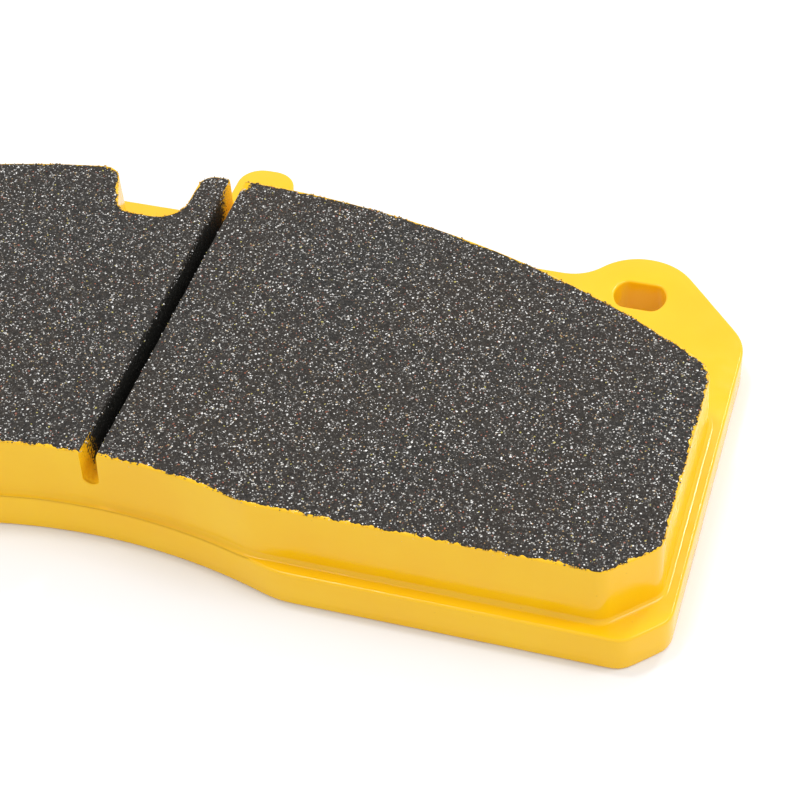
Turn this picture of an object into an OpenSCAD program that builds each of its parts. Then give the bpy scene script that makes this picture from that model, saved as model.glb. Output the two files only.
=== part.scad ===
// Disc brake pad for a fixed caliper: a steel backing plate with two retaining-pin ears
// and a spring tab, then an adhesive film, an underlayer and a slotted friction block.
//
// X runs along the pad, Y away from the wheel hub, Z from the piston face (z = 0) to the
// disc face. The origin is the middle of the pad's outline, on the piston face.

/* [Backing plate] */
// Width over the two abutment faces
plate_w = 179.6; // [149:0.1:216]
// Height of the straight outer edge above the straight inner edge
plate_h = 77; // [64:0.5:93]
// Thickness of the steel
plate_t = 6.5; // [5:0.1:8]
// Leg of the chamfer at the two inner corners
plate_chamfer = 5.9; // [3:0.1:8]
// Rounding at both ends of that chamfer
plate_corner_r = 4; // [1:0.1:5]
// Rounding where the abutment face turns into the shoulder
shoulder_r = 9; // [3:0.5:12]
// Angle of the shoulder below the X axis
shoulder_angle = 49.2; // [42:0.1:56]

/* [Hollow in the inner edge] */
// Radius of the hollow that clears the hub
hollow_r = 91.2; // [76:0.1:110]
// Height of the hollow's crown above the straight inner edge
hollow_rise = 5.4; // [4:0.1:8]
// Rounding where the hollow meets the straight edge
hollow_corner_r = 15; // [5:1:20]

/* [Ears and pin holes] */
// Distance from an abutment face to the axis of the pin hole beside it
pin_inset = 19.1; // [16:0.1:23]
// Drop of the pin hole's axis below the straight outer edge
pin_drop = 2.9; // [0:0.1:5]
// Pin hole's width over its two round ends
pin_hole_w = 8.6; // [7.2:0.1:10.3]
// Pin hole's height between its two flats
pin_hole_h = 6.4; // [5.3:0.1:7.2]
// Radius of the ear, about the pin hole's axis
ear_r = 9.8; // [8.2:0.1:12]
// Angle of the ear's inner flank above the X axis
ear_flank_angle = 52; // [45:1:58]
// Fillet between that flank and the straight outer edge
ear_fillet_r = 7.8; // [3:0.1:9]

/* [Spring tab] */
// Width of the tab in the middle of the outer edge
tab_w = 10.4; // [8.6:0.1:13]
// Height of the tab above the straight outer edge
tab_h = 14.4; // [12:0.1:18]
// Rounding at the tab's two outer corners
tab_corner_r = 4.3; // [2:0.1:5]
// Fillet at the tab's root
tab_root_r = 2; // [0.5:0.1:4]

/* [Lining] */
// Thickness of the whole pad, from piston face to disc face
pad_t = 17; // [14.2:0.1:21]
// Thickness of the adhesive film
bond_t = 0.1; // [0.05:0.01:0.2]
// Thickness of the underlayer
under_t = 1.9; // [1.5:0.1:3]
// How far the underlayer's foot spreads beyond the friction block
foot_spread = 0.3; // [0.1:0.1:1]
// Plate left bare beside the lining at the abutment faces
side_ledge = 2.9; // [2:0.1:5]
// Plate left bare along the straight inner edge
inner_ledge = 3.2; // [2:0.1:5]
// Plate left bare along the hollow
hollow_ledge = 1.6; // [1:0.1:3]
// Plate left bare at the crown of the outer arc
outer_ledge = 2.1; // [1.5:0.1:5]
// Radius of the lining's outer arc
lining_r = 156; // [130:0.1:188]
// Leg of the chamfer at the lining's two inner corners
lining_chamfer = 7; // [4:0.1:9]
// Rounding at both ends of that chamfer
lining_corner_r = 3; // [1:0.1:4]
// Rounding where the outer arc meets the lining's sides
lining_shoulder_r = 6; // [3:0.1:10]
// Rounding where the lining's hollow meets its straight inner edge
lining_hollow_r = 10; // [4:1:15]

/* [Slot in the friction block] */
// Slot's width at the disc face
slot_w = 2.8; // [2.3:0.1:3.4]
// Slot's width at its round floor
slot_floor_w = 1.9; // [1.5:0.1:2.2]
// Friction material left between the slot's floor and the underlayer
slot_web = 2; // [1.5:0.1:3]

/* [Sensor notch] */
// Depth of the notch below the crown of the outer arc
notch_depth = 12.7; // [10:0.1:15.3]
// Width of the notch's floor
notch_w = 11; // [9:0.1:13.2]
// Lean of the notch's outer wall, away from upright
notch_lean = 20.7; // [10:0.1:30]
// Rounding at the foot of the leaning wall
notch_outer_r = 3.5; // [2:0.1:4]
// Rounding at the foot of the upright wall
notch_inner_r = 5; // [2:0.1:5.5]
// Rounding at the leaning wall's top
notch_shoulder_r = 3; // [1:0.1:4]
// Width of the nub between the notch and the slot
nub_w = 4.7; // [3.9:0.1:5.7]
// Rounding at the nub's end on the notch's side
nub_notch_r = 2.6; // [1:0.1:2.8]

/* [Hidden] */
$fn = 96;
// Overlap that keeps cuts clean
cut = 1;
// Largest gap between a round stretch of an outline and its chords
chord_gap = 0.01;

side_x = plate_w / 2;
total_h = plate_h + tab_h;
pin_x = side_x - pin_inset;
pin_y = plate_h - pin_drop;
hollow_y = hollow_rise - hollow_r;

bond_z = plate_t;
under_z = bond_z + bond_t;
friction_z = under_z + under_t;
slot_floor_z = friction_z + slot_web;

crown_y = plate_h - outer_ledge;
lining_y = crown_y - lining_r;
lining_hollow = hollow_r + hollow_ledge;
notch_floor_y = crown_y - notch_depth;
notch_inner_x = -slot_w / 2 - nub_w;
notch_outer_x = notch_inner_x - notch_w;

// ---- plane geometry -------------------------------------------------------------------

function unit(v) = v / norm(v);
function cross_z(u, v) = u.x * v.y - u.y * v.x;
function polar(a) = [cos(a), sin(a)];

// An outline runs counter-clockwise through round corners, each [from, to, centre, radius].
function flip(p) = [-p.x, p.y];
function mirrored(e) = [flip(e[1]), flip(e[0]), flip(e[2]), e[3]];
function with_mirror(path) = concat(path, [for (i = [len(path) - 1 : -1 : 0]) mirrored(path[i])]);

// Points along an arc, the short way round from one end to the other.
function arc_points(e) =
    let (
        from = e[0] - e[2],
        to = e[1] - e[2],
        turn = atan2(cross_z(from, to), from * to),
        n = ceil(abs(turn) / (2 * acos(1 - chord_gap / e[3]))),
        start = atan2(from.y, from.x)
    ) [for (i = [0 : n]) e[2] + e[3] * polar(start + turn * i / n)];
function along(arcs) = [for (e = arcs) each arc_points(e)];
function between_ends(e) = let (pts = arc_points(e)) [for (i = [1 : len(pts) - 2]) pts[i]];

// Round corner of radius r at b, on the straight sides from a and to c.
function corner(a, b, c, r) =
    let (
        back = unit(a - b),
        on = unit(c - b),
        half = acos(back * on) / 2,
        setback = r / tan(half)
    ) [b + back * setback, b + on * setback, b + unit(back + on) * r / sin(half), r];

// Round corners of a chain of [x, y, radius] points, without its two ends.
function chain(pts) = [for (i = [1 : len(pts) - 2])
    corner([pts[i - 1].x, pts[i - 1].y], [pts[i].x, pts[i].y], [pts[i + 1].x, pts[i + 1].y],
        pts[i].z)];

// Hollow of radius r in an edge at height y: its right-hand corner, rounded to corner_r.
function hollow_corner(r, y, corner_r) =
    let (
        rise = y + corner_r - hollow_y,
        centre = [sqrt((r + corner_r) * (r + corner_r) - rise * rise), y + corner_r],
        on_arc = [0, hollow_y] + unit(centre - [0, hollow_y]) * r
    ) [on_arc, [centre.x, y], centre, corner_r];
function hollow_span(right, r) = [flip(right[0]), right[0], [0, hollow_y], r];

// ---- the plate's outline --------------------------------------------------------------

// A straight flank that touches the ear, with its outward normal at angle a, is the line
// of points p for which p * polar(a) equals flank_offset(a).
function flank_offset(a) = [pin_x, pin_y] * polar(a) + ear_r;

shoulder_normal = 90 - shoulder_angle;
flank_normal = 90 + ear_flank_angle;
shoulder_y = (flank_offset(shoulder_normal) - side_x * cos(shoulder_normal)) / sin(shoulder_normal);
flank_x = (flank_offset(flank_normal) - plate_h * sin(flank_normal)) / cos(flank_normal);
ear_tip = [pin_x, pin_y] + polar((shoulder_normal + flank_normal) / 2)
    * ear_r / cos((flank_normal - shoulder_normal) / 2);
flank_length = norm([pin_x, pin_y] + ear_r * polar(flank_normal) - [flank_x, plate_h]);
ear_fillet = min(ear_fillet_r, 0.9 * flank_length / tan(ear_flank_angle / 2));

module pin_hole_2d() {
    intersection() {
        circle(d = pin_hole_w);
        square([pin_hole_w + cut, pin_hole_h], center = true);
    }
}

module plate_2d() {
    hollow_end = hollow_corner(hollow_r, 0, hollow_corner_r);
    half = concat([hollow_end], chain([
        [0, 0, 0],
        [side_x - plate_chamfer, 0, plate_corner_r],
        [side_x, plate_chamfer, plate_corner_r],
        [side_x, shoulder_y, shoulder_r],
        [ear_tip.x, ear_tip.y, ear_r],
        [flank_x, plate_h, ear_fillet],
        [tab_w / 2, plate_h, tab_root_r],
        [tab_w / 2, total_h, tab_corner_r],
        [0, total_h, 0],
    ]));
    difference() {
        polygon(concat(along(with_mirror(half)), between_ends(hollow_span(hollow_end, hollow_r))));
        for (side = [-1, 1]) translate([side * pin_x, pin_y]) pin_hole_2d();
    }
}

// ---- the lining's outline -------------------------------------------------------------

// Point of the outer arc of radius arc_r straight out from a rounding's centre.
function on_outer_arc(centre, arc_r) = [0, lining_y] + unit(centre - [0, lining_y]) * arc_r;

// Height of a rounding's centre at x, where it touches the outer arc from inside.
function rounding_y(x, arc_r, r) = lining_y + sqrt((arc_r - r) * (arc_r - r) - x * x);

// Rounding of the outer arc's end at the lining's right side x.
function lining_shoulder(x, arc_r, r) =
    let (centre = [x - r, rounding_y(x - r, arc_r, r)])
    [[x, centre.y], on_outer_arc(centre, arc_r), centre, r];

// Rounding of the nub's end beside the notch.
function nub_end(arc_r, r) =
    let (centre = [notch_inner_x + r, rounding_y(notch_inner_x + r, arc_r, r)])
    [on_outer_arc(centre, arc_r), [notch_inner_x, centre.y], centre, r];

// Rounding between the notch's leaning wall and the outer arc. The wall holds the points p
// for which p * polar(notch_lean) is wall_offset, and the centre is a radius inside both.
wall_offset = [notch_outer_x, notch_floor_y] * polar(notch_lean);
function notch_shoulder(arc_r, r) =
    let (
        foot = polar(notch_lean) * (wall_offset - r),
        along = polar(notch_lean + 90),
        from_arc = foot - [0, lining_y],
        b = from_arc * along,
        c = from_arc * from_arc - (arc_r - r) * (arc_r - r),
        centre = foot + along * (sqrt(b * b - c) - b)
    ) [centre + polar(notch_lean) * r, on_outer_arc(centre, arc_r), centre, r];

// Outline of the lining, spread outwards by spread except along the hollow and the notch.
module lining_2d(spread) {
    x = side_x - side_ledge + spread;
    y = inner_ledge - spread;
    arc_r = lining_r + spread;
    hollow_end = hollow_corner(lining_hollow, y, lining_hollow_r);
    side = concat([hollow_end], chain([
        [0, y, 0],
        [x - lining_chamfer, y, lining_corner_r],
        [x, y + lining_chamfer, lining_corner_r],
        [x, plate_h, 0],
    ]), [lining_shoulder(x, arc_r, lining_shoulder_r)]);
    notch = concat([nub_end(arc_r, nub_notch_r)], chain([
        [notch_inner_x, plate_h, 0],
        [notch_inner_x, notch_floor_y, notch_inner_r],
        [notch_outer_x, notch_floor_y, notch_outer_r],
        [notch_outer_x - sin(notch_lean), notch_floor_y + cos(notch_lean), 0],
    ]), [notch_shoulder(arc_r, notch_shoulder_r)]);
    right_end = side[len(side) - 1][1];
    left_start = notch[len(notch) - 1][1];
    polygon(concat(
        along(side),
        between_ends([right_end, notch[0][0], [0, lining_y], arc_r]),
        along(notch),
        between_ends([left_start, flip(right_end), [0, lining_y], arc_r]),
        along([for (i = [len(side) - 1 : -1 : 0]) mirrored(side[i])]),
        between_ends(hollow_span(hollow_end, lining_hollow))
    ));
}

// Slot along Y: sides that close in towards a round floor.
module slot_cut() {
    floor_r = slot_floor_w / 2;
    floor_y = slot_floor_z + floor_r;
    flare = (slot_w - slot_floor_w) / 2 / (pad_t - floor_y);
    top_half = slot_w / 2 + flare * cut;
    translate([0, plate_h + cut, 0]) rotate([90, 0, 0]) linear_extrude(plate_h + 2 * cut) {
        polygon([
            [-floor_r, floor_y], [floor_r, floor_y], [top_half, pad_t + cut],
            [-top_half, pad_t + cut],
        ]);
        intersection() {
            translate([0, floor_y]) circle(r = floor_r);
            translate([-slot_w / 2, 0]) square([slot_w, floor_y]);
        }
    }
}

// ---- the pieces -----------------------------------------------------------------------

// Moves a piece drawn from the plate's inner edge to the part's origin.
module in_part_frame(z) {
    translate([0, -total_h / 2, z]) children();
}

module backing_plate() {
    color("gold") in_part_frame(0) linear_extrude(plate_t) plate_2d();
}

module bond_film() {
    color("peru") in_part_frame(bond_z) linear_extrude(bond_t) lining_2d(0);
}

module underlayer() {
    color("dimgray") in_part_frame(under_z) linear_extrude(under_t) lining_2d(foot_spread);
}

module friction_block() {
    color("darkslategray") in_part_frame(0) difference() {
        translate([0, 0, friction_z]) linear_extrude(pad_t - friction_z) lining_2d(0);
        slot_cut();
    }
}

backing_plate();
bond_film();
underlayer();
friction_block();
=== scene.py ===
"""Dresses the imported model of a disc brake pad: its coated plate, ground lining and torn coat edge."""

import math

import bmesh
import bpy
import numpy as np
from bpy.props import FloatProperty, FloatVectorProperty, IntProperty, PointerProperty
from mathutils import Matrix, Vector, kdtree, noise
from mathutils.geometry import delaunay_2d_cdt


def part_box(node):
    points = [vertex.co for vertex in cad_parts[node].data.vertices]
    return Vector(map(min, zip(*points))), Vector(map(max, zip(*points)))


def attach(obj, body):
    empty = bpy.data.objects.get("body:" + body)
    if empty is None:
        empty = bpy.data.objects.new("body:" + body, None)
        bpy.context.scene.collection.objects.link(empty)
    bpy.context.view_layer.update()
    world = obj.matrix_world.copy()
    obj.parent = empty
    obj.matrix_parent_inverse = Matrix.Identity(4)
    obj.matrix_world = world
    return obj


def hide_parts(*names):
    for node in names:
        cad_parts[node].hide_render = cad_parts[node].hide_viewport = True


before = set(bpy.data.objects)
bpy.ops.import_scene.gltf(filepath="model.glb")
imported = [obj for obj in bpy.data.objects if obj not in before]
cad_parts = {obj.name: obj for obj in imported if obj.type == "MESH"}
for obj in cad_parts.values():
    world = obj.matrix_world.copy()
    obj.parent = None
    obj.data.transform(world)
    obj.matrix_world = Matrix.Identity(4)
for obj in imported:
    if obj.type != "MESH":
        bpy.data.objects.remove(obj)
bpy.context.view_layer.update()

bl_info = {
    "name": "Disc Brake Pad",
    "version": (1, 0, 0),
    "blender": (4, 5, 0),
    "location": "View3D > Sidebar > Brake Pad",
    "description": "Builds a coated disc brake pad round its packed frame",
    "category": "Object",
}

MM = 0.001
TINY = 1e-6


# ---- settings


def length(name, about, default):
    """A setting that is a distance in metres."""
    return FloatProperty(name=name, description=about, default=default, min=0.0,
                         precision=5, unit="LENGTH", subtype="DISTANCE")


def share(name, about, default):
    """A setting from 0 to 1."""
    return FloatProperty(name=name, description=about, default=default, min=0.0, max=1.0)


def angle(name, about, degrees):
    """A setting that is an angle."""
    return FloatProperty(name=name, description=about, default=math.radians(degrees),
                         subtype="ANGLE", unit="ROTATION")


def amount(name, about, default, unit="NONE"):
    """A setting that is a plain number or a power."""
    return FloatProperty(name=name, description=about, default=default, min=0.0, unit=unit)


def colour(name, about, default):
    """A setting that is a linear colour."""
    return FloatVectorProperty(name=name, description=about, default=default, size=3,
                               min=0.0, max=1.0, subtype="COLOR")


class PlateSettings(bpy.types.PropertyGroup):
    """Sizes and colours of the coated backing plate."""

    edge_radius: length("Edge radius", "Rounding of the coated plate's edges", 0.00045)
    step: length("Outline step", "Distance between points along the plate's outline", 0.0005)
    waviness: length("Waviness", "How far the coat's thickness wanders along the walls", 0.00006)
    coat_colour: colour("Coat colour", "Colour of the powder coat", (0.95, 0.565, 0.006))
    coat_shade: colour("Coat shade", "Colour where the powder coat lies thick", (0.93, 0.52, 0.004))
    gloss_roughness: share("Roughness", "Roughness of the powder coat", 0.17)


class LiningSettings(bpy.types.PropertyGroup):
    """Sizes and colours of the ground friction block."""

    grain: length("Grain", "Distance between points on the ground face", 0.00044)
    relief: length("Relief", "Depth of the ground face's unevenness", 0.00007)
    rim_radius: length("Rim radius", "Rounding of the block's upper rim", 0.0003)
    overspray_reach: length("Overspray reach", "How far the coat is blown into the slot", 0.0075)
    base_colour: colour("Base colour", "Colour of the ground binder", (0.012, 0.012, 0.012))
    brown_colour: colour("Brown colour", "Colour of the brown fibre in the binder",
                         (0.030, 0.021, 0.014))


class CoatSettings(bpy.types.PropertyGroup):
    """Sizes of the coat that covers the lining's walls."""

    step: length("Outline step", "Distance between points along the lining's outline", 0.00005)
    top_thickness: length("Upper thickness", "How far the coat stands out at the upper rim", 0.00014)
    foot_thickness: length("Foot thickness", "How far the coat stands out above the fillet", 0.0005)
    fillet: length("Fillet", "Size of the fillet where the coat meets the plate", 0.0008)
    rim_radius: length("Rim radius", "Rounding of the coat over the upper rim", 0.0005)
    least_wrap: length("Least wrap", "Shortest wrap of the coat over the rim", 0.0003)
    most_wrap: length("Most wrap", "Longest wrap of the coat over the rim", 0.00115)


class FleckSettings(bpy.types.PropertyGroup):
    """Amounts and sizes of the flecks and crumbs."""

    density: amount("Density", "Flecks per square metre", 1.7e6)
    smallest: length("Smallest fleck", "Width of the smallest fleck", 0.00012)
    largest: length("Largest fleck", "Width of the largest fleck", 0.00042)
    crumb_smallest: length("Smallest crumb", "Width of the smallest crumb of coat", 0.00010)
    crumb_largest: length("Largest crumb", "Width of the largest crumb of coat", 0.00036)
    seed: IntProperty(name="Seed", description="Seed of the scatter", default=7, min=0)


class StageSettings(bpy.types.PropertyGroup):
    """The camera's place, the lamps and the floor."""

    azimuth: angle("Azimuth", "Direction of view, clockwise from +Y", -18.172)
    elevation: angle("Elevation", "Height of the camera above the horizon", 43.84)
    roll: angle("Roll", "Turn of the camera about its line of sight", -2.597)
    target: FloatVectorProperty(name="Target", description="Point in the middle of the view",
                                default=(0.03958, -0.00771, 0.0085), size=3, precision=5,
                                unit="LENGTH", subtype="TRANSLATION")
    distance: length("Distance", "Distance from the camera to the target", 0.3472)
    focal_length: amount("Focal length", "Focal length in millimetres", 98.71)
    sky_level: amount("Sky level", "Strength of the even light", 0.82)
    key_power: amount("Key power", "Power of the lamp at the right", 4.6, "POWER")
    edge_power: amount("Edge power", "Power of the two lamps that pick out edges", 2.2, "POWER")
    floor_colour: colour("Floor colour", "Colour of the floor", (0.87, 0.895, 0.95))


# ---- outlines and meshes


# Points nearer than this are one point to the triangulation
SAME_POINT = 1e-8
# A region of triangles smaller than this is a sliver, and is dropped
LEAST_REGION = MM**2
# How many points are tested against an outline at a time
BATCH = 2000


def mesh_points(mesh):
    """A mesh's vertices as rows of x, y and z."""
    points = np.zeros(len(mesh.vertices) * 3)
    mesh.vertices.foreach_get("co", points)
    return points.reshape(-1, 3)


def face_outlines(node, level):
    """Closed outlines of a CAD node's flat face at that height, longest first, metal on the left."""
    copy = bmesh.new()
    copy.from_mesh(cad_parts[node].data)
    bmesh.ops.remove_doubles(copy, verts=copy.verts, dist=TINY)
    copy.verts.index_update()
    face = [f for f in copy.faces if all(abs(v.co.z - level) < TINY for v in f.verts)]
    on_face = set(face)
    follows = {}
    place = {}
    for f in face:
        for corner in f.loops:
            if any(other in on_face for other in corner.edge.link_faces if other is not f):
                continue
            follows[corner.vert.index] = corner.link_loop_next.vert.index
            place[corner.vert.index] = corner.vert.co.xy.copy()
    copy.free()
    loops = []
    while follows:
        at = next(iter(follows))
        loop = []
        while at in follows:
            loop.append(place[at])
            at = follows.pop(at)
        loop = np.array(loop)
        loops.append(np.roll(loop, -int(np.lexsort((loop[:, 1], loop[:, 0]))[0]), axis=0))
    return sorted(loops, key=lambda loop: -len_of(loop))


def len_of(loop):
    """Length of the closed outline."""
    return np.linalg.norm(np.roll(loop, -1, axis=0) - loop, axis=1).sum()


def resampled(loop, step):
    """The closed outline with points an even step apart."""
    closed = np.vstack([loop, loop[:1]])
    run = np.concatenate([[0.0], np.cumsum(np.linalg.norm(np.diff(closed, axis=0), axis=1))])
    count = int(round(run[-1] / step))
    at = np.arange(count) * run[-1] / count
    return np.column_stack([np.interp(at, run, closed[:, 0]), np.interp(at, run, closed[:, 1])])


def smoothed(values, passes):
    """Values along a closed outline, each averaged with its neighbours."""
    for _ in range(passes):
        values = (np.roll(values, 1, axis=0) + 2 * values + np.roll(values, -1, axis=0)) / 4
    return values


def outward(loop):
    """Unit normals of the outline, away from the metal."""
    along = np.roll(loop, -1, axis=0) - np.roll(loop, 1, axis=0)
    along /= np.linalg.norm(along, axis=1)[:, None]
    return np.column_stack([along[:, 1], -along[:, 0]])


def wander(points, size, seed=0.0):
    """Smooth noise from -1 to 1 at each point, with bumps of that size."""
    return np.array([noise.noise(Vector((p[0] / size, p[1] / size, seed))) for p in points])


class Boundary:
    """Tells how far points lie inside a set of dense outlines."""

    def __init__(self, loops):
        self.points = np.vstack(loops)
        self.normals = np.vstack([outward(loop) for loop in loops])
        self.tree = kdtree.KDTree(len(self.points))
        for i, p in enumerate(self.points):
            self.tree.insert((p[0], p[1], 0.0), i)
        self.tree.balance()
        self.ends = np.vstack([np.roll(loop, -1, axis=0) for loop in loops])
        rise = self.ends[:, 1] - self.points[:, 1]
        self.slopes = (self.ends[:, 0] - self.points[:, 0]) / np.where(rise == 0, 1.0, rise)

    def holds(self, points):
        """Whether each point lies inside, by the crossings on its right."""
        held = []
        for some in np.array_split(points, 1 + len(points) // BATCH):
            x, y = some[:, :1], some[:, 1:]
            spans = (self.points[:, 1] <= y) != (self.ends[:, 1] <= y)
            crossing = self.points[:, 0] + (y - self.points[:, 1]) * self.slopes
            held.append((spans & (crossing > x)).sum(axis=1) % 2 == 1)
        return np.concatenate(held)

    def depth(self, points):
        """Distance to the outlines, positive inside."""
        nearest = [self.tree.find((p[0], p[1], 0.0)) for p in points]
        index = np.array([n[1] for n in nearest])
        gap = np.array([n[2] for n in nearest])
        side = ((np.asarray(points) - self.points[index]) * self.normals[index]).sum(axis=1)
        return np.where(side <= 0, gap, -gap)


def triangulated(points, edges, boundary, walls=None):
    """Points and triangles inside the boundary that hold the edges.

    The first walls of the edges, or all of them, part one region of triangles from the next.
    """
    walls = len(edges) if walls is None else walls
    found = delaunay_2d_cdt([Vector(p) for p in points], edges, [], 0, SAME_POINT, True)
    flat = np.array([tuple(p) for p in found[0]])
    faces = np.array(found[2])
    barred = {frozenset(edge) for edge, source in zip(found[1], found[4])
              if any(k < walls for k in source)}
    touching = {}
    for i, (a, b, c) in enumerate(faces.tolist()):
        for edge in (frozenset((a, b)), frozenset((b, c)), frozenset((c, a))):
            if edge not in barred:
                touching.setdefault(edge, []).append(i)
    region = connected(len(faces), [pair for pair in touching.values() if len(pair) == 2])
    sides = flat[faces[:, 1:]] - flat[faces[:, :1]]
    area = np.abs(sides[:, 0, 0] * sides[:, 1, 1] - sides[:, 0, 1] * sides[:, 1, 0])
    kept = np.zeros(len(faces), bool)
    for name in np.unique(region):
        members = np.flatnonzero(region == name)
        largest = faces[members[np.argmax(area[members])]]
        if area[members].sum() > LEAST_REGION and boundary.holds(flat[largest].mean(axis=0)[None])[0]:
            kept[members] = True
    return flat, faces[kept]


def connected(count, pairs):
    """A number for each of count items, the same for all that the pairs join."""
    leads = {}
    for a, b in pairs:
        leads.setdefault(a, []).append(b)
        leads.setdefault(b, []).append(a)
    number = np.full(count, -1)
    for start in range(count):
        waiting = [start] if number[start] < 0 else []
        while waiting:
            item = waiting.pop()
            if number[item] < 0:
                number[item] = start
                waiting += leads.get(item, [])
    return number


def ring_edges(start, count):
    """Edges that close a ring of count points, numbered from start."""
    return [(start + i, start + (i + 1) % count) for i in range(count)]


def loops_with_edges(loops):
    """The loops' points in one list, and the edges that close each of them."""
    edges = []
    start = 0
    for loop in loops:
        edges += ring_edges(start, len(loop))
        start += len(loop)
    return np.vstack(loops), edges


def cap(loops, level, up):
    """Flat face that fills the loops at that height."""
    points, edges = loops_with_edges(loops)
    flat, faces = triangulated(points, edges, Boundary(loops))
    verts = np.column_stack([flat, np.full(len(flat), level)])
    return verts, faces if up else faces[:, ::-1]


def ring_faces(columns, rows, closed_rows=False):
    """Quads round a band of columns, each of that many points, with the outside on the right."""
    faces = []
    steps = rows if closed_rows else rows - 1
    for i in range(columns):
        on = (i + 1) % columns
        for j in range(steps):
            up = (j + 1) % rows
            faces.append((i * rows + j, on * rows + j, on * rows + up, i * rows + up))
    return faces


def joined_mesh(name, parts):
    """One mesh from (points, faces) parts, with the points they share merged."""
    shell = bmesh.new()
    for verts, faces in parts:
        made = [shell.verts.new(v) for v in verts]
        for face in faces:
            shell.faces.new([made[k] for k in face])
    bmesh.ops.remove_doubles(shell, verts=shell.verts, dist=TINY / 10)
    for face in shell.faces:
        face.smooth = True
    mesh = bpy.data.meshes.new(name)
    shell.to_mesh(mesh)
    shell.free()
    return mesh


def added(name, data):
    """A new object in the scene, with that data."""
    made = bpy.data.objects.new(name, data)
    bpy.context.scene.collection.objects.link(made)
    return made


def piece_from(mesh, material, replaced=()):
    """A finished piece on the pad's body, with its material."""
    piece = added(mesh.name, mesh)
    mesh.materials.append(material)
    for node in replaced:
        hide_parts(node)
    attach(piece, "root")
    return piece


def point_attribute(mesh, name, values):
    """Stores one number for each of the mesh's vertices."""
    layer = mesh.attributes.new(name, "FLOAT", "POINT")
    layer.data.foreach_set("value", np.asarray(values, dtype=np.float32))


# ---- the lining's section


# The slot's mouths are the outline's points this near the middle
SLOT_REACH = 3 * MM
# The ground face lies this far under the disc face, which leaves room for the flecks
HEADROOM = 0.06 * MM
# How far the saw's cut strays, and over what length
SLOT_SWAY, SLOT_SWAY_SIZE = 0.05 * MM, 1.1 * MM
# Widths of the ground face's broad and fine bumps and of its pits
BUMP_SIZE, GRIT_SIZE, PIT_SIZE = 1.4 * MM, 0.55 * MM, 0.9 * MM
# Noise above which a pit starts, and the deepest pit in units of the relief
PIT_START, DEEPEST_PIT = 0.28, 4


class Lining:
    """The lining's levels, outline and slot, read from the frame."""

    def __init__(self):
        low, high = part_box("friction_block")
        self.base, self.top = low[2], high[2]
        self.front, self.back = low[1], high[1]
        film_low, film_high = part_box("bond_film")
        self.foot = film_low[2]
        self.outline = face_outlines("bond_film", film_high[2])[0]
        self.mouths = self.outline[np.abs(self.outline[:, 0]) < SLOT_REACH, 1]
        points = mesh_points(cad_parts["friction_block"].data)
        reach = np.abs(points[:, 0])
        at_top = points[:, 2] > self.top - TINY
        self.slot_half = reach[at_top].min()
        in_slot = (reach < self.slot_half - TINY) & (points[:, 2] > self.base + TINY)
        self.floor_half = reach[in_slot].max()
        self.slot_floor = points[in_slot, 2].min()

    def slot_level(self, x, rim):
        """Height of the slot's section at distance x from its middle, with a rounded rim."""
        reach = np.abs(x)
        bend = np.sqrt(np.clip(self.floor_half**2 - reach**2, 0, None))
        floor = self.slot_floor + self.floor_half - bend
        knee = self.slot_floor + self.floor_half
        slope = (self.top - rim - knee) / (self.slot_half - self.floor_half)
        wall = knee + (reach - self.floor_half) * slope
        beyond = np.clip(reach - self.slot_half, 0, rim)
        lip = self.top - rim + np.sqrt(np.clip(rim**2 - (rim - beyond) ** 2, 0, None))
        level = np.where(reach < self.slot_half, wall, lip)
        level = np.where(reach < self.floor_half, floor, level)
        return np.where(reach > self.slot_half + rim, self.top, level)


LINING = Lining()


def slot_wander(y):
    """How far the saw's cut strays sideways at y."""
    return SLOT_SWAY * wander(np.column_stack([y, y * 0]), SLOT_SWAY_SIZE, seed=3.0)


def ground_level(points, settings, boundary):
    """Height of the ground face, the slot and the rim at each point."""
    x, y = points[:, 0], points[:, 1]
    level = LINING.slot_level(x + slot_wander(y), settings.rim_radius)
    depth = np.clip(boundary.depth(points), 0, settings.rim_radius)
    rim = settings.rim_radius
    level = level - (rim - np.sqrt(rim**2 - (rim - depth) ** 2))
    coarse = wander(points, BUMP_SIZE, seed=1.0)
    fine = wander(points, GRIT_SIZE, seed=2.0)
    pits = np.clip(wander(points, PIT_SIZE, seed=5.0) - PIT_START, 0, None)
    rough = settings.relief * (0.5 * coarse + 0.6 * fine - 0.5 - 2.2 * pits)
    return level - HEADROOM + np.clip(rough, -DEEPEST_PIT * settings.relief, 0)


# ---- materials


PINHOLE = (0.45, 0.2, 0.01)
CHIPPED = (0.10, 0.065, 0.012)
PALE_BINDER = (0.044, 0.038, 0.031)
DUST = (0.40, 0.37, 0.34)
# Near-black painted shade for the slot's walls and floor below the ground face
PAINTED_SLOT_SHADE = (0.010, 0.010, 0.008)
WORN_FLECK = (0.08, 0.08, 0.08)
DUSTY_CRUMB = (0.09, 0.07, 0.03)
FLOOR_SHADE = (0.86, 0.885, 0.94)
FILM_COLOURS = ((0.25, 0.13, 0.05), (0.16, 0.08, 0.03))
UNDERLAYER_COLOURS = ((0.05, 0.05, 0.05), (0.09, 0.08, 0.07))
# Width of the grains drawn on the ground face
GRAIN_SIZE = 0.27 * MM
# How bright the grains are: most are dark, and the brightest are pale mineral grains and also painted
# glints
GRAIN_AND_GLINT_LIGHT = (
    (0.0, (0.0, 0.0, 0.0)), (0.60, (0.0, 0.0, 0.0)), (0.80, (0.10, 0.10, 0.10)),
    (0.92, (0.32, 0.32, 0.32)), (1.0, (1.0, 1.0, 1.0)),
)
# Colours of the grains
GRAIN_TINTS = (
    (0.0, (0.72, 0.69, 0.64)), (0.66, (0.95, 0.92, 0.86)), (0.86, (0.55, 0.34, 0.16)),
    (0.94, (0.38, 0.10, 0.05)), (1.0, (0.60, 0.52, 0.20)),
)
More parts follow.
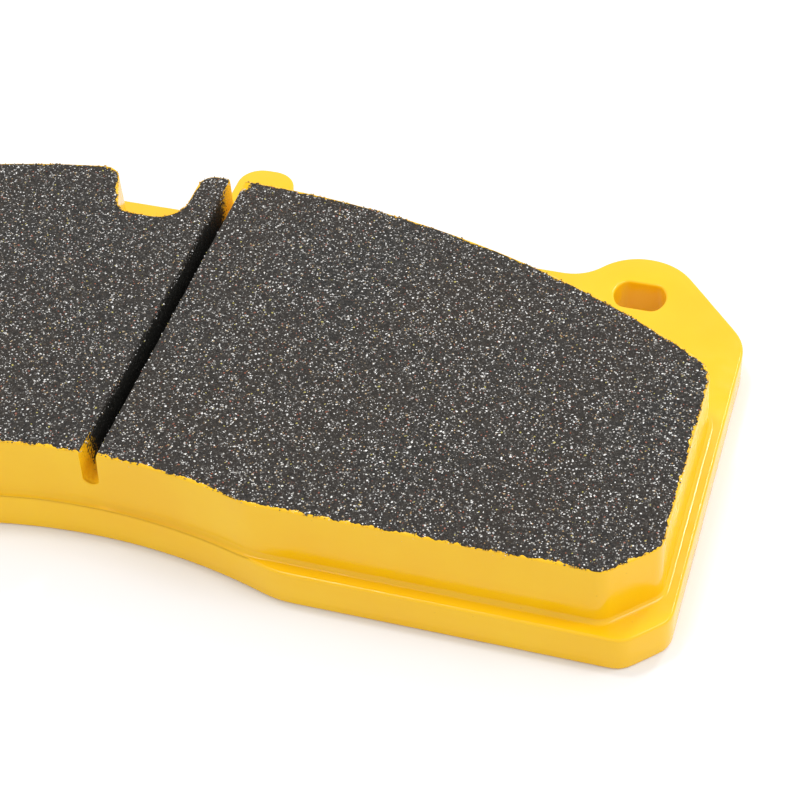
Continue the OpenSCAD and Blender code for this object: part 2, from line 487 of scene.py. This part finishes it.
# Colours of the flecks, from metal to rust
FLECK_TINTS = (
    (0.0, (0.55, 0.54, 0.53)), (0.30, (0.92, 0.91, 0.88)), (0.62, (0.26, 0.25, 0.24)),
    (0.76, (0.50, 0.36, 0.19)), (0.86, (0.30, 0.085, 0.045)), (0.95, (0.50, 0.44, 0.10)),
)
# Colours of the crumbs that are not clean
CRUMB_TINTS = ((0.45, (0.62, 0.33, 0.02)), (0.66, (0.22, 0.13, 0.02)), (0.82, (0.05, 0.045, 0.035)))


class Nodes:
    """A node tree, with short ways to add and link nodes."""

    def __init__(self, tree):
        self.tree = tree

    def link(self, output, socket):
        self.tree.links.new(output, socket)

    def fill(self, socket, value):
        """Links an output to the socket, or sets the socket to a plain value."""
        if isinstance(value, bpy.types.NodeSocket):
            self.link(value, socket)
        else:
            socket.default_value = value

    def node(self, kind, inputs=(), **settings):
        made = self.tree.nodes.new(kind)
        for key, value in settings.items():
            setattr(made, key, value)
        for key, value in dict(inputs).items():
            self.fill(made.inputs[key], value)
        return made

    def between(self, value, low, high, to_low=0.0, to_high=1.0):
        """The value, moved from the range low to high into the range to_low to to_high."""
        inputs = {"Value": value, "From Min": low, "From Max": high,
                  "To Min": to_low, "To Max": to_high}
        return self.node("ShaderNodeMapRange", inputs).outputs["Result"]

    def maths(self, operation, first, second):
        return self.node("ShaderNodeMath", {0: first, 1: second}, operation=operation).outputs[0]


class Graph(Nodes):
    """A material's node tree, with the patterns and mixes that the finishes use."""

    def __init__(self, name):
        self.material = bpy.data.materials.new(name)
        self.material.use_nodes = True
        super().__init__(self.material.node_tree)
        self.shader = self.tree.nodes["Principled BSDF"]
        self.place = self.tree.nodes.new("ShaderNodeTexCoord").outputs["Object"]

    def noise(self, size, detail=2.0, roughness=0.5):
        inputs = {"Vector": self.place, "Scale": 1.0 / size, "Detail": detail,
                  "Roughness": roughness}
        return self.node("ShaderNodeTexNoise", inputs).outputs["Fac"]

    def cells(self, size, output="Color"):
        inputs = {"Vector": self.place, "Scale": 1.0 / size}
        return self.node("ShaderNodeTexVoronoi", inputs).outputs[output]

    def single(self, colours, channel):
        return self.node("ShaderNodeSeparateColor", {"Color": colours}).outputs[channel]

    def mix(self, factor, first, second):
        """The first colour where the factor is 0, and the second where it is 1."""
        made = self.node("ShaderNodeMix", {0: factor}, data_type="RGBA")
        for socket, value in ((made.inputs[6], first), (made.inputs[7], second)):
            is_socket = isinstance(value, bpy.types.NodeSocket)
            self.fill(socket, value if is_socket else (*value, 1.0))
        return made.outputs[2]

    def ramp(self, value, stops, interpolation="LINEAR"):
        made = self.node("ShaderNodeValToRGB", {"Fac": value})
        made.color_ramp.interpolation = interpolation
        elements = made.color_ramp.elements
        while len(elements) < len(stops):
            elements.new(0.5)
        for element, (position, shade) in zip(elements, stops):
            element.position = position
            element.color = (*shade, 1.0)
        return made.outputs["Color"]

    def attribute(self, name):
        return self.node("ShaderNodeAttribute", attribute_name=name).outputs["Fac"]

    def bump(self, height, depth, strength=1.0, under=None):
        inputs = {"Height": height, "Distance": depth, "Strength": strength}
        if under:
            inputs["Normal"] = under
        return self.node("ShaderNodeBump", inputs).outputs["Normal"]

    def finish(self, colour_socket=None, roughness=None, normal=None, **constants):
        """Sets the shader's inputs and gives back the material."""
        links = {"Base Color": colour_socket, "Roughness": roughness, "Normal": normal}
        for key, value in {**links, **constants}.items():
            if value is not None:
                self.fill(self.shader.inputs[key.replace("_", " ")], value)
        return self.material


def powder_coat(name, settings, worn=False):
    """Glossy powder coat with orange peel and pinholes, chipped where the worn attribute says."""
    g = Graph(name)
    tone = g.between(g.noise(14 * MM, 3.0), 0.35, 0.65)
    paint = g.mix(tone, settings.coat_colour, settings.coat_shade)
    holes = g.between(g.cells(3.4 * MM, "Distance"), 0.0, 0.045, 1.0, 0.0)
    paint = g.mix(g.maths("MULTIPLY", holes, 0.45), paint, PINHOLE)
    peel = g.bump(g.noise(1.3 * MM, 2.0), 0.05 * MM, 0.14)
    swell = g.bump(g.noise(6 * MM, 1.0), 0.12 * MM, 0.25, peel)
    normal = g.bump(g.maths("SUBTRACT", 1.0, holes), 0.06 * MM, 0.5, swell)
    rough = g.between(g.noise(3 * MM, 3.0), 0.3, 0.7, settings.gloss_roughness - 0.06,
                      settings.gloss_roughness + 0.1)
    if worn:
        frayed = g.between(g.noise(0.5 * MM, 3.0), 0.3, 0.7, -0.5, 0.5)
        torn = g.maths("ADD", g.attribute("worn"), frayed)
        chipped = g.between(torn, 0.62, 0.74)
        paint = g.mix(g.maths("MULTIPLY", chipped, 0.85), paint, CHIPPED)
        rough = g.maths("ADD", rough, g.maths("MULTIPLY", chipped, 0.4))
    return g.finish(paint, rough, normal, IOR=1.45)


def ground_friction(settings, plate):
    """Dark ground composite with fine mineral, metal and rust grains, the palest partly painted glints,
    coat blown on it, and painted shade in the slot.
    """
    g = Graph("ground_friction")
    patches = g.between(g.noise(22 * MM, 2.0), 0.35, 0.7)
    fibre = g.between(g.noise(0.7 * MM, 3.0, 0.6), 0.35, 0.75)
    binder = g.mix(fibre, settings.base_colour, PALE_BINDER)
    binder = g.mix(g.maths("MULTIPLY", patches, 0.45), binder, settings.brown_colour)
    fine = g.cells(GRAIN_SIZE)
    # Pale grains: partly the composite's real mineral colour, partly painted glints
    light = g.ramp(g.single(fine, "Red"), GRAIN_AND_GLINT_LIGHT)
    tint = g.ramp(g.single(fine, "Green"), GRAIN_TINTS, "CONSTANT")
    core = g.between(g.cells(GRAIN_SIZE, "Distance"), 0.30, 0.62, 1.0, 0.0)
    grains = g.mix(g.maths("MULTIPLY", light, core), binder, tint)
    dust = g.between(g.noise(0.16 * MM, 2.0), 0.58, 0.80, 0.0, 0.22)
    grains = g.mix(dust, grains, DUST)
    # Painted shade: the slot's walls and floor turn near black with depth below the ground face
    grains = g.mix(g.attribute("sawn"), grains, PAINTED_SLOT_SHADE)
    speckle = g.between(g.noise(0.45 * MM, 3.0), 0.3, 0.7, -0.3, 0.3)
    sprayed = g.maths("ADD", g.attribute("overspray"), speckle)
    painted = g.mix(g.between(sprayed, 0.42, 0.62), grains, plate.coat_shade)
    coarse = g.bump(g.noise(0.5 * MM, 3.0, 0.65), 0.18 * MM, 0.75)
    normal = g.bump(g.single(fine, "Blue"), 0.06 * MM, 0.6, coarse)
    rough = g.between(g.single(fine, "Blue"), 0.0, 1.0, 0.5, 0.9)
    return g.finish(painted, rough, normal, Specular_IOR_Level=0.22)


def fleck_finish():
    """Flecks of metal, mineral, brass and rust, picked by each fleck's own number."""
    g = Graph("fleck_minerals")
    shade = g.ramp(g.attribute("tint"), FLECK_TINTS, "CONSTANT")
    worn = g.mix(g.between(g.noise(0.12 * MM, 2.0), 0.4, 0.7, 0.0, 0.5), shade, WORN_FLECK)
    rough = g.between(g.noise(0.2 * MM, 2.0), 0.3, 0.7, 0.25, 0.55)
    normal = g.bump(g.noise(0.1 * MM, 2.0), 0.02 * MM, 0.5)
    return g.finish(worn, rough, normal, Metallic=0.25)


def crumb_finish(settings):
    """Broken crumbs of coat, some of them dark with ground friction dust."""
    g = Graph("coat_crumbs")
    tints = ((0.0, tuple(settings.coat_shade)), *CRUMB_TINTS)
    shade = g.ramp(g.attribute("tint"), tints, "CONSTANT")
    dusty = g.mix(g.between(g.noise(0.15 * MM, 2.0), 0.45, 0.7, 0.0, 0.5), shade, DUSTY_CRUMB)
    normal = g.bump(g.noise(0.12 * MM, 2.0), 0.03 * MM, 0.6)
    return g.finish(dusty, 0.55, normal)


def moulded_layer(name, first, second, grain_size):
    """Moulded compound with an even grain, for the layers between plate and block."""
    g = Graph(name)
    paint = g.mix(g.between(g.noise(grain_size, 4.0), 0.35, 0.65), first, second)
    return g.finish(paint, 0.7, g.bump(g.noise(grain_size / 2, 3.0), 0.05 * MM, 0.6))


# ---- scatter


class Scatter(Nodes):
    """A geometry node tree that drops small chips on a surface or on loose points."""

    def __init__(self, name, sizes):
        super().__init__(bpy.data.node_groups.new(name, "GeometryNodeTree"))
        face = self.tree.interface
        face.new_socket(name="Geometry", in_out="INPUT", socket_type="NodeSocketGeometry")
        face.new_socket(name="Geometry", in_out="OUTPUT", socket_type="NodeSocketGeometry")
        self.values = {}
        for key, value in sizes.items():
            kind = "NodeSocketInt" if isinstance(value, int) else "NodeSocketFloat"
            socket = face.new_socket(name=key, in_out="INPUT", socket_type=kind)
            self.values[socket.identifier] = value
        self.given = self.tree.nodes.new("NodeGroupInput").outputs
        self.result = self.tree.nodes.new("NodeGroupOutput").inputs

    def random(self, low, high, salt, vector=False):
        """Random numbers or vectors; the salt keeps one use apart from another."""
        seed = self.maths("ADD", self.given["Seed"], float(salt))
        kind = "FLOAT_VECTOR" if vector else "FLOAT"
        made = self.node("FunctionNodeRandomValue", data_type=kind)
        low_socket, high_socket = [s for s in made.inputs if s.enabled and s.name in ("Min", "Max")]
        self.fill(low_socket, low)
        self.fill(high_socket, high)
        self.link(seed, made.inputs["Seed"])
        return next(s for s in made.outputs if s.enabled)

    def chips(self, points, chip, tilt, flatness, material):
        """Chips of random width, turn and tint on the points, as one mesh."""
        width = self.random(self.given["Smallest"], self.given["Largest"], 1)
        squash = self.random((0.55, 0.55, flatness), (1.25, 1.25, flatness * 1.6), 2, vector=True)
        scale = self.node("ShaderNodeVectorMath", {0: squash, "Scale": width}, operation="SCALE")
        turn = self.random((-tilt, -tilt, 0.0), (tilt, tilt, math.tau), 3, vector=True)
        placed = self.node("GeometryNodeInstanceOnPoints", {
            "Points": points, "Instance": chip, "Rotation": turn, "Scale": scale.outputs[0],
        })
        tinted = self.node("GeometryNodeStoreNamedAttribute", {
            "Geometry": placed.outputs[0], "Name": "tint", "Value": self.random(0.0, 1.0, 4),
        }, data_type="FLOAT", domain="INSTANCE")
        real = self.node("GeometryNodeRealizeInstances", {"Geometry": tinted.outputs[0]})
        coated = self.node("GeometryNodeSetMaterial", {"Geometry": real.outputs[0]})
        coated.inputs["Material"].default_value = material
        self.link(coated.outputs[0], self.result["Geometry"])

    def grown(self, name, seedbed, slot, top):
        """The scatter on a seedbed mesh, as a finished plain piece that stays under the top."""
        piece = added(name, seedbed)
        modifier = piece.modifiers.new("scatter", "NODES")
        modifier.node_group = self.tree
        for identifier, value in self.values.items():
            modifier[identifier] = value
        depsgraph = bpy.context.evaluated_depsgraph_get()
        mesh = bpy.data.meshes.new_from_object(piece.evaluated_get(depsgraph),
                                               preserve_all_data_layers=True, depsgraph=depsgraph)
        piece.modifiers.clear()
        if not mesh.polygons:
            raise RuntimeError(f"{name} came out empty")
        points = mesh_points(mesh)
        points[:, 2] = np.minimum(points[:, 2], top)
        mesh.vertices.foreach_set("co", points.ravel())
        mesh.name = name
        piece.data = mesh
        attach(piece, "root")
        return piece


# ---- operators


# Angles at which each rounding is drawn
EDGE_TURNS = (0, 18, 36, 54, 72, 90)
FLOOR_TURNS = (22, 45, 67, 84, 90)
LIP_TURNS = (30, 55, 75, 90)
FILLET_TURNS = (0, 22, 45, 67, 90)
# Distances between points along the block's drawn and exact outlines and along the slot
BLOCK_STEP, EXACT_STEP, SLOT_STEP = 0.3 * MM, 0.05 * MM, 0.6 * MM
# Shares of the rim's radius at which rings are drawn in the block's rim
RIM_RINGS = (0.25, 0.6, 1.0)
# Seed and reach, in grains, of the shift of the ground face's points
SPREAD_SEED, SPREAD_REACH = 11, 0.22
# How far the coat runs into the plate and into the lining
COAT_SINK, COAT_DEPTH = 0.1 * MM, 0.25 * MM
# Rounding of the coat at the slot's lips, and how far its rim stays under the disc face
COAT_LIP, COAT_DROP = 0.4 * MM, 0.012 * MM
# How far the coat's thickness strays, over what length
COAT_SWAY, COAT_SWAY_SIZE = 0.05 * MM, 3.5 * MM
# Distance between crumbs along the torn edge, and how far they stray
CRUMB_STEP, CRUMB_STRAY = 0.18 * MM, 0.15 * MM
SENSOR_WIDTH = 36.0
CLIP_START = 0.01
FLOOR_REACH = 3.0
# Each lamp's name, place, size and the setting with its power
LAMPS = (
    ("key_lamp", (0.75, 0.15, 1.0), 0.5, "key_power"),
    ("front_edge_lamp", (-0.27, 0.13, 1.15), 0.15, "edge_power"),
    ("side_edge_lamp", (0.32, 0.82, 0.84), 0.15, "edge_power"),
)


class BRAKEPAD_OT_plate(bpy.types.Operator):
    """Builds the coated backing plate with its rounded edges and pin holes"""

    bl_idname = "brakepad.plate"
    bl_label = "Backing Plate"

    def execute(self, context):
        settings = context.scene.brakepad_plate
        low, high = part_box("backing_plate")
        outlines = [smoothed(resampled(loop, settings.step), 2)
                    for loop in face_outlines("backing_plate", high[2])]
        radius = settings.edge_radius
        turns = np.radians(EDGE_TURNS)
        rise = [(radius * (1 - math.sin(t)), low[2] + radius * (1 - math.cos(t))) for t in turns]
        section = rise + [(inset, low[2] + high[2] - z) for inset, z in reversed(rise)]
        parts = []
        rims = []
        for loop in outlines:
            normal = outward(loop)
            sway = settings.waviness * (0.5 + 0.5 * wander(loop, 4 * MM))
            rows = []
            for inset, z in section:
                share_of_sway = min(1.0, (radius - inset) / radius)
                flat = loop - normal * (inset + sway * share_of_sway)[:, None]
                rows.append(np.column_stack([flat, np.full(len(flat), z)]))
            band = np.stack(rows, axis=1)
            parts.append((band.reshape(-1, 3), ring_faces(len(loop), len(section))))
            rims.append(loop - normal * radius)
        parts.append(cap(rims, high[2], up=True))
        parts.append(cap(rims, low[2], up=False))
        mesh = joined_mesh("plate", parts)
        piece_from(mesh, powder_coat("plate_coat", settings), ["backing_plate"])
        return {"FINISHED"}


class BRAKEPAD_OT_layers(bpy.types.Operator):
    """Gives the bonded layers between plate and block their finish"""

    bl_idname = "brakepad.layers"
    bl_label = "Bonded Layers"

    def execute(self, context):
        finishes = {
            "bond_film": moulded_layer("cured_adhesive", *FILM_COLOURS, 1.5 * MM),
            "underlayer": moulded_layer("underlayer_compound", *UNDERLAYER_COLOURS, 0.8 * MM),
        }
        for node, finish in finishes.items():
            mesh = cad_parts[node].data
            mesh.materials.clear()
            mesh.materials.append(finish)
        return {"FINISHED"}


class BRAKEPAD_OT_block(bpy.types.Operator):
    """Builds the ground friction block with its slot, rim and grain"""

    bl_idname = "brakepad.block"
    bl_label = "Friction Block"

    def slot_columns(self, rim):
        """Distances from the slot's middle at which its section is drawn."""
        floor = [LINING.floor_half * math.sin(math.radians(t)) for t in FLOOR_TURNS]
        walls = np.linspace(LINING.floor_half, LINING.slot_half, 5)[1:]
        lips = [LINING.slot_half + rim * (1 - math.cos(math.radians(t))) for t in LIP_TURNS]
        sides = floor + list(walls) + lips
        return [-x for x in reversed(sides)] + [0.0] + sides

    def seeds(self, settings, boundary):
        """Points spread over the ground face, clear of the outline and the slot."""
        low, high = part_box("friction_block")
        step = settings.grain
        xs = np.arange(low[0], high[0], step)
        ys = np.arange(low[1], high[1], step * 0.87)
        grid_x, grid_y = np.meshgrid(xs, ys)
        grid_x[1::2] += step / 2
        points = np.column_stack([grid_x.ravel(), grid_y.ravel()])
        chance = np.random.default_rng(SPREAD_SEED)
        spread = chance.uniform(-SPREAD_REACH, SPREAD_REACH, points.shape)
        points += spread * step
        points = points[np.abs(points[:, 0]) > LINING.slot_half + settings.rim_radius + step * 0.7]
        return points[boundary.depth(points) > settings.rim_radius + step * 0.5]

    def overspray(self, points, settings):
        """How much blown coat lies on each point, from 0 to 1."""
        x, y, z = points.T
        in_slot = (np.abs(x) < LINING.slot_half + 0.1 * MM) & (z < LINING.top - 0.25 * MM)
        mouth = np.minimum(y - LINING.mouths.min(), LINING.mouths.max() - y)
        low = (LINING.top - z) / (LINING.top - LINING.slot_floor)
        blown = np.clip(1.0 - mouth / settings.overspray_reach, 0, 1) * (0.8 + 0.45 * low)
        corner = Vector((LINING.slot_half + 0.4 * MM, LINING.back - 1.3 * MM))
        patch = 1.1 - np.hypot((x - corner.x) / (1.3 * MM), (y - corner.y) / (2.2 * MM))
        return np.clip(np.where(in_slot, blown, 0) + np.clip(patch, 0, 1), 0, 1)

    def execute(self, context):
        settings = context.scene.brakepad_lining
        outline = smoothed(resampled(LINING.outline, BLOCK_STEP), 1)
        boundary = Boundary([smoothed(resampled(LINING.outline, EXACT_STEP), 6)])
        normal = outward(outline)
        rim = settings.rim_radius
        inner = [outline - normal * rim * share_of_rim for share_of_rim in RIM_RINGS]
        points = [outline]
        edges = ring_edges(0, len(outline))
        count = len(outline)
        ys = np.arange(LINING.front - MM, LINING.back + MM, SLOT_STEP)
        for x in self.slot_columns(rim):
            line = np.column_stack([x - slot_wander(ys), ys])
            points.append(line)
            edges += [(count + i, count + i + 1) for i in range(len(line) - 1)]
            count += len(line)
        keep_out = LINING.slot_half + rim
        points += [ring[np.abs(ring[:, 0]) > keep_out] for ring in inner]
        points.append(self.seeds(settings, boundary))
        flat, faces = triangulated(np.vstack(points), edges, Boundary([outline]), len(outline))
        used = np.unique(faces)
        level = np.zeros(len(flat))
        level[used] = ground_level(flat[used], settings, boundary)
        top = np.column_stack([flat, level])
        sides, base = self.closing(flat, level, faces, Boundary([outline]))
        mesh = joined_mesh("friction_face", [(top, faces), sides, base])
        points = mesh_points(mesh)
        point_attribute(mesh, "overspray", self.overspray(points, settings))
        # Mask of painted shade: it grows with depth below the ground face and is full about 1.25 mm down
        point_attribute(mesh, "sawn", np.clip((LINING.top - points[:, 2]) / MM - 0.35, 0, 0.9))
        material = ground_friction(settings, context.scene.brakepad_plate)
        piece_from(mesh, material, ["friction_block"])
        return {"FINISHED"}

    def closing(self, flat, level, faces, boundary):
        """The block's walls and base, from the open edges of its upper surface."""
        halves = {(int(f[i]), int(f[i - 2])) for f in faces for i in range(3)}
        open_edges = [(a, b) for a, b in halves if (b, a) not in halves]
        verts, quads = [], []
        for a, b in open_edges:
            k = len(verts)
            verts += [(*flat[a], level[a]), (*flat[a], LINING.base)]
            verts += [(*flat[b], LINING.base), (*flat[b], level[b])]
            quads.append((k, k + 1, k + 2, k + 3))
        rim = sorted({a for a, b in open_edges})
        order = {a: i for i, a in enumerate(rim)}
        base, under = triangulated(flat[rim], [(order[a], order[b]) for a, b in open_edges], boundary)
        base = np.column_stack([base, np.full(len(base), LINING.base)])
        return (verts, quads), (base, under[:, ::-1])


class BRAKEPAD_OT_coat(bpy.types.Operator):
    """Builds the coat round the lining's walls, with its fillet and its torn upper edge"""

    bl_idname = "brakepad.coat"
    bl_label = "Lining Coat"

    def columns(self, settings):
        """The lining's outline, dense where the slot opens in it, with its normals."""
        dense = smoothed(resampled(LINING.outline, settings.step), 6)
        normal = smoothed(outward(dense), 4)
        index = np.arange(len(dense))
        near_slot = np.abs(dense[:, 0]) < LINING.slot_half + 0.6 * MM
        keep = near_slot | (index % 5 == 0)
        return dense[keep], normal[keep]

    def execute(self, context):
        settings = context.scene.brakepad_coat
        outline, normal = self.columns(settings)
        across = outline[:, 0] + slot_wander(outline[:, 1])
        top = LINING.slot_level(across, COAT_LIP) - COAT_DROP
        thin, thick, rim = settings.top_thickness, settings.foot_thickness, settings.rim_radius
        sway = COAT_SWAY * wander(outline, COAT_SWAY_SIZE, seed=8.0)
        foot = LINING.foot
        fillet = settings.fillet
        buried = thick + fillet + 0.3 * MM + sway
        rows = [(buried, np.full(len(top), foot - 0.04 * MM))]
        for turn in np.radians(FILLET_TURNS):
            out = thick + fillet * (1 - math.sin(turn))
            rows.append((out + sway, np.full(len(top), foot + fillet * (1 - math.cos(turn)))))
        shoulder = top - rim
        for part in np.linspace(0, 1, 9)[1:]:
            level = foot + fillet + (shoulder - foot - fillet) * part
            fade = np.clip((level - foot - fillet) / (LINING.top - rim - foot - fillet), 0, 1)
            rows.append((thick + (thin - thick) * fade + sway * (1 - fade), level))
        lip = rows[-1][0]
        wrap = self.wrap(outline, settings)
        for part in np.linspace(0, 1, 8)[1:]:
            run = wrap * part
            turn = np.clip(run / rim, 0, math.pi / 2)
            beyond = np.clip(run - rim * math.pi / 2, 0, None)
            rows.append((lip - rim + rim * np.cos(turn) - beyond, shoulder + rim * np.sin(turn)))
        torn_out, torn_level = rows[-1]
        rows.append((torn_out - 0.02 * MM, torn_level - 0.12 * MM))
        rows.append((np.minimum(torn_out, 0) - 0.02 * MM, shoulder - 0.1 * MM))
        inside = np.full(len(top), -COAT_DEPTH)
        rows.append((inside, np.minimum(shoulder - 0.3 * MM, LINING.base)))
        rows.append((inside, np.full(len(top), foot - COAT_SINK)))
        band = np.stack([np.column_stack([outline + normal * out[:, None], level])
                         for out, level in rows], axis=1)
        faces = ring_faces(len(outline), len(rows), closed_rows=True)
        mesh = joined_mesh("lining_coat", [(band.reshape(-1, 3), faces)])
        points = mesh_points(mesh)
        depth = Boundary([outline]).depth(points[:, :2])
        worn = np.clip((depth + 0.15 * MM) / (0.9 * MM), 0, 1) * (points[:, 2] > LINING.base)
        point_attribute(mesh, "worn", worn)
        material = powder_coat("wall_coat", context.scene.brakepad_plate, worn=True)
        piece_from(mesh, material)
        return {"FINISHED"}

    @staticmethod
    def wrap(outline, settings):
        """How far the coat wraps over the rim at each column."""
        ragged = (0.30 + 0.45 * wander(outline, 5 * MM, seed=4.0)
                  + 0.45 * wander(outline, 1.1 * MM, seed=6.0)
                  + 0.30 * wander(outline, 0.45 * MM, seed=9.0))
        reach = settings.most_wrap - settings.least_wrap
        wrapped = settings.least_wrap + reach * np.clip(ragged, 0, 1)
        in_slot = np.abs(outline[:, 0]) < LINING.slot_half + 0.2 * MM
        return np.where(in_slot, settings.rim_radius, wrapped)


class BRAKEPAD_OT_flecks(bpy.types.Operator):
    """Scatters metal and mineral flecks over the ground face"""

    bl_idname = "brakepad.flecks"
    bl_label = "Flecks"

    def execute(self, context):
        settings = context.scene.brakepad_flecks
        scatter = Scatter("fleck_scatter", {
            "Density": settings.density,
            "Smallest": settings.smallest,
            "Largest": settings.largest,
            "Level": LINING.top - 0.5 * MM,
            "Seed": settings.seed,
        })
        place = scatter.node("GeometryNodeInputPosition")
        height = scatter.node("ShaderNodeSeparateXYZ", {0: place.outputs[0]})
        compared = {0: height.outputs["Z"], 1: scatter.given["Level"]}
        on_top = scatter.node("FunctionNodeCompare", compared, data_type="FLOAT",
                              operation="GREATER_THAN")
        points = scatter.node("GeometryNodeDistributePointsOnFaces", {
            "Mesh": scatter.given["Geometry"], "Selection": on_top.outputs[0],
            "Density": scatter.given["Density"], "Seed": scatter.given["Seed"],
        })
        chip = scatter.node("GeometryNodeMeshCone", {
            "Vertices": 5, "Side Segments": 1, "Radius Top": 0.0, "Radius Bottom": 0.5, "Depth": 1.0,
        })
        scatter.chips(points.outputs["Points"], chip.outputs["Mesh"], 0.22, 0.10, fleck_finish())
        seedbed = bpy.data.objects["friction_face"].data.copy()
        scatter.grown("mineral_flecks", seedbed, "friction_compound", LINING.top)
        return {"FINISHED"}


class BRAKEPAD_OT_crumbs(bpy.types.Operator):
    """Scatters broken crumbs of coat along the torn edge"""

    bl_idname = "brakepad.crumbs"
    bl_label = "Coat Crumbs"

    def execute(self, context):
        settings = context.scene.brakepad_flecks
        scatter = Scatter("crumb_scatter", {
            "Smallest": settings.crumb_smallest,
            "Largest": settings.crumb_largest,
            "Seed": settings.seed,
        })
        chip = scatter.node("GeometryNodeMeshIcoSphere", {"Radius": 0.5, "Subdivisions": 1})
        material = crumb_finish(context.scene.brakepad_plate)
        scatter.chips(scatter.given["Geometry"], chip.outputs["Mesh"], 1.5, 0.7, material)
        seedbed = bpy.data.meshes.new("crumb_seeds")
        seedbed.from_pydata(self.seeds(context.scene.brakepad_coat, settings.seed), [], [])
        scatter.grown("coat_crumbs", seedbed, "yellow_powder_coat", LINING.top)
        return {"FINISHED"}

    @staticmethod
    def seeds(settings, seed):
        """Points strewn along the coat's torn edge, thicker where the edge is broken."""
        outline = smoothed(resampled(LINING.outline, CRUMB_STEP), 2)
        outline = outline[np.abs(outline[:, 0]) > LINING.slot_half + 0.3 * MM]
        normal = outward(outline)
        chance = np.random.default_rng(seed)
        broken = wander(outline, 4 * MM, seed=12.0) + chance.uniform(-0.5, 0.5, len(outline))
        kept = broken > 0.05
        inset = BRAKEPAD_OT_coat.wrap(outline, settings)[kept] - settings.rim_radius * 0.9
        inset += chance.normal(0, CRUMB_STRAY, kept.sum())
        flat = outline[kept] - normal[kept] * np.clip(inset, -0.05 * MM, 1.4 * MM)[:, None]
        level = np.full(len(flat), LINING.top - 0.10 * MM) - chance.uniform(0, 0.06 * MM, len(flat))
        return np.column_stack([flat, level]).tolist()


class BRAKEPAD_OT_stage(bpy.types.Operator):
    """Sets the camera, the floor, the even light and the three lamps"""

    bl_idname = "brakepad.stage"
    bl_label = "Stage"

    def camera(self, context, settings):
        az, el, roll = settings.azimuth, settings.elevation, settings.roll
        ahead = Vector((math.sin(az) * math.cos(el), math.cos(az) * math.cos(el), -math.sin(el)))
        level = Vector((math.cos(az), -math.sin(az), 0.0))
        upright = level.cross(ahead)
        right = level * math.cos(roll) + upright * math.sin(roll)
        up = upright * math.cos(roll) - level * math.sin(roll)
        data = bpy.data.cameras.new("camera")
        data.lens = settings.focal_length
        data.sensor_width = SENSOR_WIDTH
        data.clip_start = CLIP_START
        camera = added("camera", data)
        turn = Matrix((right, up, -ahead)).transposed().to_4x4()
        place = Vector(settings.target) - ahead * settings.distance
        camera.matrix_world = Matrix.Translation(place) @ turn
        context.scene.camera = camera

    def floor(self, settings):
        mesh = bpy.data.meshes.new("floor")
        signs = ((-1, -1), (1, -1), (1, 1), (-1, 1))
        corners = [(x * FLOOR_REACH, y * FLOOR_REACH, 0) for x, y in signs]
        mesh.from_pydata(corners, [], [(0, 1, 2, 3)])
        g = Graph("floor_paper")
        mottle = g.between(g.noise(0.4, 2.0), 0.3, 0.7, 0.0, 0.03)
        shade = g.mix(mottle, settings.floor_colour, FLOOR_SHADE)
        mesh.materials.append(g.finish(shade, 0.9, Specular_IOR_Level=0.0))
        floor = added("floor", mesh)

    def sky(self, context, settings):
        """Even white light, shown pure white to the camera and in reflections."""
        world = bpy.data.worlds.new("sky")
        world.use_nodes = True
        g = Nodes(world.node_tree)
        rays = g.node("ShaderNodeLightPath").outputs
        seen = rays["Is Camera Ray"]
        for ray in ("Is Glossy Ray", "Is Transmission Ray"):
            seen = g.maths("MAXIMUM", seen, rays[ray])
        background = world.node_tree.nodes["Background"].inputs
        background["Color"].default_value = (1.0, 1.0, 1.0, 1.0)
        g.link(g.between(seen, 0.0, 1.0, settings.sky_level, 1.0), background["Strength"])
        context.scene.world = world

    def lamp(self, name, place, size, power):
        data = bpy.data.lights.new(name, "AREA")
        data.shape = "SQUARE"
        data.size = size
        data.energy = power
        lamp = added(name, data)
        lamp.location = place
        lamp.rotation_euler = (-Vector(place)).to_track_quat("-Z", "Y").to_euler()

    def execute(self, context):
        settings = context.scene.brakepad_stage
        context.scene.view_settings.view_transform = "Standard"
        self.camera(context, settings)
        self.floor(settings)
        self.sky(context, settings)
        for name, place, size, power in LAMPS:
            self.lamp(name, place, size, getattr(settings, power))
        return {"FINISHED"}


class BRAKEPAD_PT_panel(bpy.types.Panel):
    """Lists the pad's pieces in the order they are built"""

    bl_idname = "BRAKEPAD_PT_panel"
    bl_label = "Disc Brake Pad"
    bl_space_type = "VIEW_3D"
    bl_region_type = "UI"
    bl_category = "Brake Pad"

    def draw(self, context):
        for group in SETTINGS:
            box = self.layout.box()
            box.label(text=group.replace("brakepad_", "").title())
            for key in SETTINGS[group].__annotations__:
                box.prop(getattr(context.scene, group), key)
        for operator in OPERATORS:
            self.layout.operator(operator.bl_idname)


SETTINGS = {
    "brakepad_plate": PlateSettings,
    "brakepad_lining": LiningSettings,
    "brakepad_coat": CoatSettings,
    "brakepad_flecks": FleckSettings,
    "brakepad_stage": StageSettings,
}
OPERATORS = (
    BRAKEPAD_OT_stage,
    BRAKEPAD_OT_plate,
    BRAKEPAD_OT_layers,
    BRAKEPAD_OT_block,
    BRAKEPAD_OT_coat,
    BRAKEPAD_OT_flecks,
    BRAKEPAD_OT_crumbs,
)


CLASSES = (*SETTINGS.values(), *OPERATORS, BRAKEPAD_PT_panel)


def register():
    for cls in CLASSES:
        bpy.utils.register_class(cls)
    for name, group in SETTINGS.items():
        setattr(bpy.types.Scene, name, PointerProperty(type=group))


def unregister():
    for name in SETTINGS:
        delattr(bpy.types.Scene, name)
    for cls in reversed(CLASSES):
        bpy.utils.unregister_class(cls)


def main():
    register()
    for operator in OPERATORS:
        getattr(bpy.ops.brakepad, operator.bl_idname.split(".")[1])()


if __name__ == "__main__":
    main()
